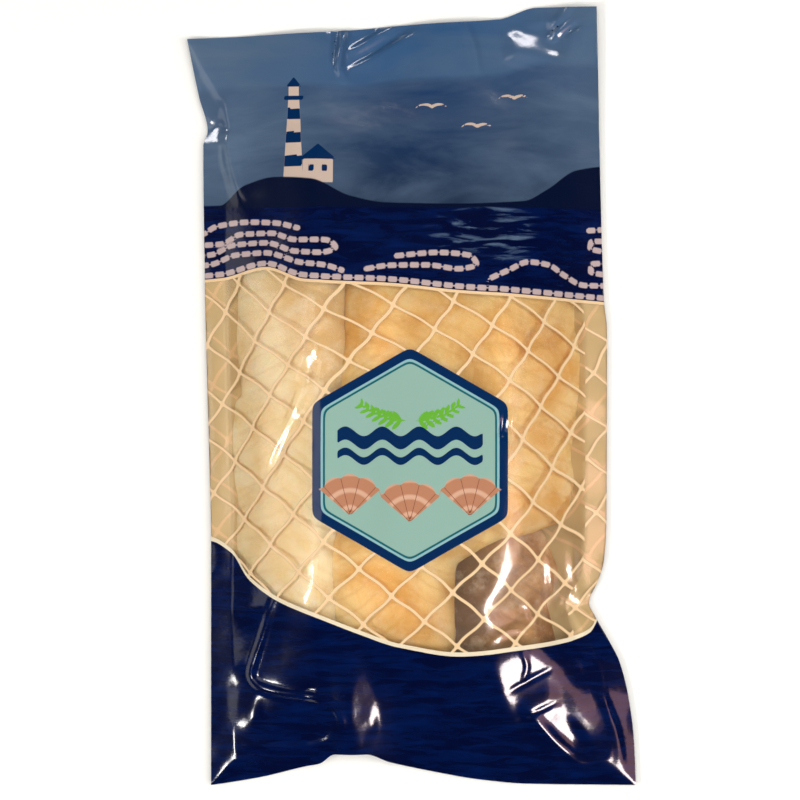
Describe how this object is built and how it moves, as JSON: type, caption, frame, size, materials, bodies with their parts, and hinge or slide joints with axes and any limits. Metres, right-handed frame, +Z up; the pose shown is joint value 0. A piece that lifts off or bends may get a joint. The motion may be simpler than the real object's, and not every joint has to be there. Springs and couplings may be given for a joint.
{
  "type": "bag of frozen cod fillets",
  "caption": "Sealed plastic retail pouch of frozen cod fillets, lying on its back, with printed blue ends and a clear netted window over the fish.",
  "frame": {"origin": "on the surface the pouch lies on, under the middle of its bounding box", "axes": "+Z up through the printed front, +Y towards the top seal, +X to the right as seen from the front"},
  "size_m": [0.1796, 0.3114, 0.0301],
  "materials": {
    "printed_film": "glossy printed film, blue at both ends, clear over the fish",
    "fish_flesh": "frozen fish flesh, pale to golden, slightly frosted"
  },
  "bodies": {
    "root": {"pouch": "printed_film"}
  },
  "joints": []
}
